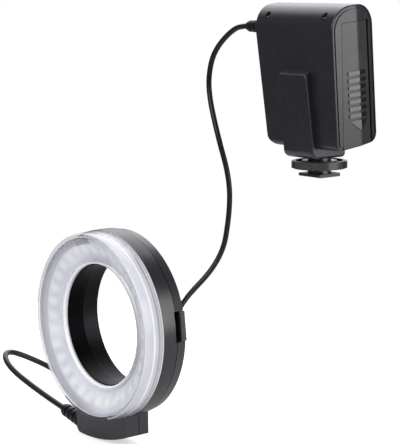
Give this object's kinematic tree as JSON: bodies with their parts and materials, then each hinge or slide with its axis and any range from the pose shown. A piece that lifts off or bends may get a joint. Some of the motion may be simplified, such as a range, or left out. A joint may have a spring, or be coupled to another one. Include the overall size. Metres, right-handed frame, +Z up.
{
  "type": "macro ring flash",
  "caption": "Ring light for close-up photography: a diffused ring head on a lens adapter, joined by a cord to a control unit on a hot-shoe foot.",
  "frame": {"origin": "middle of the hot-shoe foot's underside", "axes": "-Y runs forward along the lens, the way the foot slides into its shoe and the ring head faces; +X is the battery door's side; +Z is up"},
  "size_m": [0.172, 0.1894, 0.2387],
  "materials": {
    "shell_plastic": "fine satin-matt moulded black",
    "door_plastic": "satin moulded black",
    "ring_plastic": "satin moulded black",
    "wheel_plastic": "satin, knurled edge",
    "foot_metal": "black finish",
    "button_plastic": "ribbed",
    "key_plastic": "smooth",
    "panel_plastic": "smooth",
    "sleeve_rubber": "matt",
    "cord_rubber": "smooth satin",
    "clear_plastic": "translucent",
    "white_plastic": "smooth",
    "board": "solder resist",
    "lamp": "moulded",
    "adapter_metal": "black anodised",
    "steel": "plain",
    "contact_brass": "plated",
    "cell_jacket": "plain jacket",
    "component": "plain"
  },
  "bodies": {
    "unit_and_head": {"shoe_foot": "foot_metal", "pin_spring": "steel", "unit_front_shell": "shell_plastic", "unit_rear_shell": "shell_plastic", "battery_tray": "white_plastic", "battery_cells": "cell_jacket", "cell_contacts": "steel", "main_board": "board", "control_board": "board", "capacitor": "component", "control_panel": "panel_plastic", "tact_switches": "component", "level_lamps": "lamp", "unit_screws": "steel", "unit_strain_relief": "sleeve_rubber", "cord": "cord_rubber", "head_strain_relief": "sleeve_rubber", "diffuser_cover": "clear_plastic", "head_front_housing": "ring_plastic", "head_rear_housing": "ring_plastic", "led_board": "board", "leds": "lamp", "reflector_ring": "white_plastic", "release_springs": "steel", "head_screws": "steel"},
    "wheel_carriage": {"pressure_plate": "foot_metal"},
    "wheel": {"locking_wheel": "wheel_plastic"},
    "centre_contact": {"sync_pin": "contact_brass"},
    "door_carriage": {"door_pin": "steel"},
    "door": {"battery_door": "door_plastic", "door_contacts": "steel"},
    "right_release": {"release_slide_right": "button_plastic"},
    "left_release": {"release_slide_left": "button_plastic"},
    "adapter": {"adapter_ring": "adapter_metal"},
    "power_key_cap": {"power_key": "key_plastic"},
    "mode_key_cap": {"mode_key": "key_plastic"},
    "test_key_cap": {"test_key": "key_plastic"},
    "plus_key_cap": {"plus_key": "key_plastic"},
    "minus_key_cap": {"minus_key": "key_plastic"}
  },
  "joints": [
    {"name": "plate_lift", "type": "slide", "parent": "unit_and_head", "child": "wheel_carriage", "axis": [0, 0, 1], "range_m": [0, 0.0015]},
    {"name": "wheel_turn", "type": "hinge", "parent": "wheel_carriage", "child": "wheel", "pos_m": [0, 0, 0.00725], "axis": [0, 0, 1], "range_deg": [0, 360]},
    {"name": "contact_press", "type": "slide", "parent": "unit_and_head", "child": "centre_contact", "axis": [0, 0, 1], "range_m": [0, 0.0005], "stiffness_N_per_m": 400, "springref_m": -0.0005, "deforming": ["pin_spring"]},
    {"name": "door_slide", "type": "slide", "parent": "unit_and_head", "child": "door_carriage", "axis": [-0.0309, 0.0958, -0.9949], "range_m": [0, 0.0045]},
    {"name": "door_hinge", "type": "hinge", "parent": "door_carriage", "child": "door", "pos_m": [0.0298, 0.00818, 0.06375], "axis": [0.0309, -0.0958, 0.9949], "range_deg": [0, 90]},
    {"name": "right_release_press", "type": "slide", "parent": "unit_and_head", "child": "right_release", "axis": [-0.9945, 0, -0.1045], "range_m": [0, 0.0018], "stiffness_N_per_m": 700, "springref_m": -0.001, "deforming": ["release_springs"]},
    {"name": "left_release_press", "type": "slide", "parent": "unit_and_head", "child": "left_release", "axis": [0.9945, 0, 0.1045], "range_m": [0, 0.0018], "stiffness_N_per_m": 700, "springref_m": -0.001, "deforming": ["release_springs"]},
    {"name": "adapter_turn", "type": "hinge", "parent": "unit_and_head", "child": "adapter", "pos_m": [0, -0.1465, -0.0679], "axis": [0, 1, 0], "continuous": true},
    {"name": "power_key_press", "type": "slide", "parent": "unit_and_head", "child": "power_key_cap", "axis": [0, -0.9954, -0.0958], "range_m": [0, 0.0006], "stiffness_N_per_m": 900, "springref_m": -0.0003},
    {"name": "mode_key_press", "type": "slide", "parent": "unit_and_head", "child": "mode_key_cap", "axis": [0, -0.9954, -0.0958], "range_m": [0, 0.0006], "stiffness_N_per_m": 900, "springref_m": -0.0003},
    {"name": "test_key_press", "type": "slide", "parent": "unit_and_head", "child": "test_key_cap", "axis": [0, -0.9954, -0.0958], "range_m": [0, 0.0006], "stiffness_N_per_m": 900, "springref_m": -0.0003},
    {"name": "plus_key_press", "type": "slide", "parent": "unit_and_head", "child": "plus_key_cap", "axis": [0, -0.9954, -0.0958], "range_m": [0, 0.0006], "stiffness_N_per_m": 900, "springref_m": -0.0003},
    {"name": "minus_key_press", "type": "slide", "parent": "unit_and_head", "child": "minus_key_cap", "axis": [0, -0.9954, -0.0958], "range_m": [0, 0.0006], "stiffness_N_per_m": 900, "springref_m": -0.0003}
  ],
  "couplings": [
    {"joint": "wheel_turn", "follows": "plate_lift", "rad_per_m": 4188.7}
  ]
}
